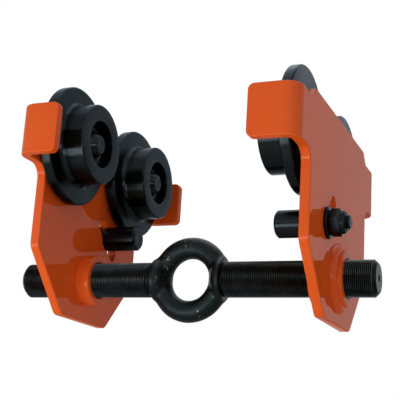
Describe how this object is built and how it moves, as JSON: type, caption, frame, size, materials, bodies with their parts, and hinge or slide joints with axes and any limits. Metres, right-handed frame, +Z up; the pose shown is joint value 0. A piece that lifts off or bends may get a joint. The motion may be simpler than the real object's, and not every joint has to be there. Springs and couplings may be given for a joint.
{
  "type": "beam trolley",
  "caption": "Adjustable push trolley that rolls on a beam's lower flange: bent side plates, flanged wheels, and a two-handed threaded spindle with a forged eye for a hoist.",
  "frame": {"origin": "on the floor below the centre of the eye", "axes": "+X along the spindle, from the left plate in the picture to the right one; +Y along the beam, away from the camera; +Z up"},
  "size_m": [0.317, 0.249, 0.1927],
  "materials": {
    "orange_enamel": "gloss enamel",
    "black_oxide_steel": "black oxide, lightly oiled",
    "forged_black_steel": "forged, black oxide, thread rolled",
    "bearing_steel": "ground",
    "seal_rubber": "moulded",
    "nylon": "moulded"
  },
  "bodies": {
    "spindle": {"eye_spindle": "forged_black_steel"},
    "left_side": {"left_side_plate": "orange_enamel", "left_threaded_bush": "orange_enamel", "left_front_axle_pin": "black_oxide_steel", "left_front_spacer_sleeve": "black_oxide_steel", "left_front_inner_ring": "bearing_steel", "left_rear_axle_pin": "black_oxide_steel", "left_rear_spacer_sleeve": "black_oxide_steel", "left_rear_inner_ring": "bearing_steel"},
    "right_side": {"right_side_plate": "orange_enamel", "right_threaded_bush": "orange_enamel", "right_front_axle_pin": "black_oxide_steel", "right_front_spacer_sleeve": "black_oxide_steel", "right_front_inner_ring": "bearing_steel", "right_rear_axle_pin": "black_oxide_steel", "right_rear_spacer_sleeve": "black_oxide_steel", "right_rear_inner_ring": "bearing_steel"},
    "left_front_wheel_set": {"left_front_wheel": "black_oxide_steel", "left_front_outer_ring": "bearing_steel", "left_front_hub_seal": "seal_rubber", "left_front_plate_seal": "seal_rubber", "left_front_circlip": "black_oxide_steel"},
    "left_front_ball_cage": {"left_front_ball_set": "bearing_steel"},
    "left_rear_wheel_set": {"left_rear_wheel": "black_oxide_steel", "left_rear_outer_ring": "bearing_steel", "left_rear_hub_seal": "seal_rubber", "left_rear_plate_seal": "seal_rubber", "left_rear_circlip": "black_oxide_steel"},
    "left_rear_ball_cage": {"left_rear_ball_set": "bearing_steel"},
    "right_front_wheel_set": {"right_front_wheel": "black_oxide_steel", "right_front_outer_ring": "bearing_steel", "right_front_hub_seal": "seal_rubber", "right_front_plate_seal": "seal_rubber", "right_front_circlip": "black_oxide_steel"},
    "right_front_ball_cage": {"right_front_ball_set": "bearing_steel"},
    "right_rear_wheel_set": {"right_rear_wheel": "black_oxide_steel", "right_rear_outer_ring": "bearing_steel", "right_rear_hub_seal": "seal_rubber", "right_rear_plate_seal": "seal_rubber", "right_rear_circlip": "black_oxide_steel"},
    "right_rear_ball_cage": {"right_rear_ball_set": "bearing_steel"},
    "left_lift_stop": {"left_anti_lift_pin": "black_oxide_steel", "left_washer": "black_oxide_steel", "left_lock_nut": "black_oxide_steel", "left_nylon_ring": "nylon"},
    "right_lift_stop": {"right_anti_lift_pin": "black_oxide_steel", "right_washer": "black_oxide_steel", "right_lock_nut": "black_oxide_steel", "right_nylon_ring": "nylon"}
  },
  "joints": [
    {"name": "left_side_slide", "type": "slide", "parent": "spindle", "child": "left_side", "axis": [-1, 0, 0], "range_m": [-0.05, 0.02]},
    {"name": "right_side_slide", "type": "slide", "parent": "spindle", "child": "right_side", "axis": [1, 0, 0], "range_m": [-0.05, 0.02]},
    {"name": "left_front_wheel_spin", "type": "hinge", "parent": "left_side", "child": "left_front_wheel_set", "pos_m": [-0.0795, -0.0593, 0.14209], "axis": [1, 0, 0], "continuous": true},
    {"name": "left_front_cage_spin", "type": "hinge", "parent": "left_side", "child": "left_front_ball_cage", "pos_m": [-0.0795, -0.0593, 0.14209], "axis": [1, 0, 0], "continuous": true},
    {"name": "left_rear_wheel_spin", "type": "hinge", "parent": "left_side", "child": "left_rear_wheel_set", "pos_m": [-0.0795, 0.0593, 0.14209], "axis": [1, 0, 0], "continuous": true},
    {"name": "left_rear_cage_spin", "type": "hinge", "parent": "left_side", "child": "left_rear_ball_cage", "pos_m": [-0.0795, 0.0593, 0.14209], "axis": [1, 0, 0], "continuous": true},
    {"name": "right_front_wheel_spin", "type": "hinge", "parent": "right_side", "child": "right_front_wheel_set", "pos_m": [0.0995, -0.0593, 0.14209], "axis": [1, 0, 0], "continuous": true},
    {"name": "right_front_cage_spin", "type": "hinge", "parent": "right_side", "child": "right_front_ball_cage", "pos_m": [0.0995, -0.0593, 0.14209], "axis": [1, 0, 0], "continuous": true},
    {"name": "right_rear_wheel_spin", "type": "hinge", "parent": "right_side", "child": "right_rear_wheel_set", "pos_m": [0.0995, 0.0593, 0.14209], "axis": [1, 0, 0], "continuous": true},
    {"name": "right_rear_cage_spin", "type": "hinge", "parent": "right_side", "child": "right_rear_ball_cage", "pos_m": [0.0995, 0.0593, 0.14209], "axis": [1, 0, 0], "continuous": true},
    {"name": "left_lift_stop_slide", "type": "slide", "parent": "left_side", "child": "left_lift_stop", "axis": [0, -0.6947, 0.7193], "range_m": [-0.016, 0.015]},
    {"name": "right_lift_stop_slide", "type": "slide", "parent": "right_side", "child": "right_lift_stop", "axis": [0, 0.6947, 0.7193], "range_m": [-0.004, 0.027]}
  ],
  "couplings": [
    {"joint": "left_side_slide", "follows": "right_side_slide", "ratio": 1},
    {"joint": "left_front_cage_spin", "follows": "left_front_wheel_spin", "ratio": 0.6175},
    {"joint": "left_rear_cage_spin", "follows": "left_rear_wheel_spin", "ratio": 0.6175},
    {"joint": "right_front_cage_spin", "follows": "right_front_wheel_spin", "ratio": 0.6175},
    {"joint": "right_rear_cage_spin", "follows": "right_rear_wheel_spin", "ratio": 0.6175}
  ]
}
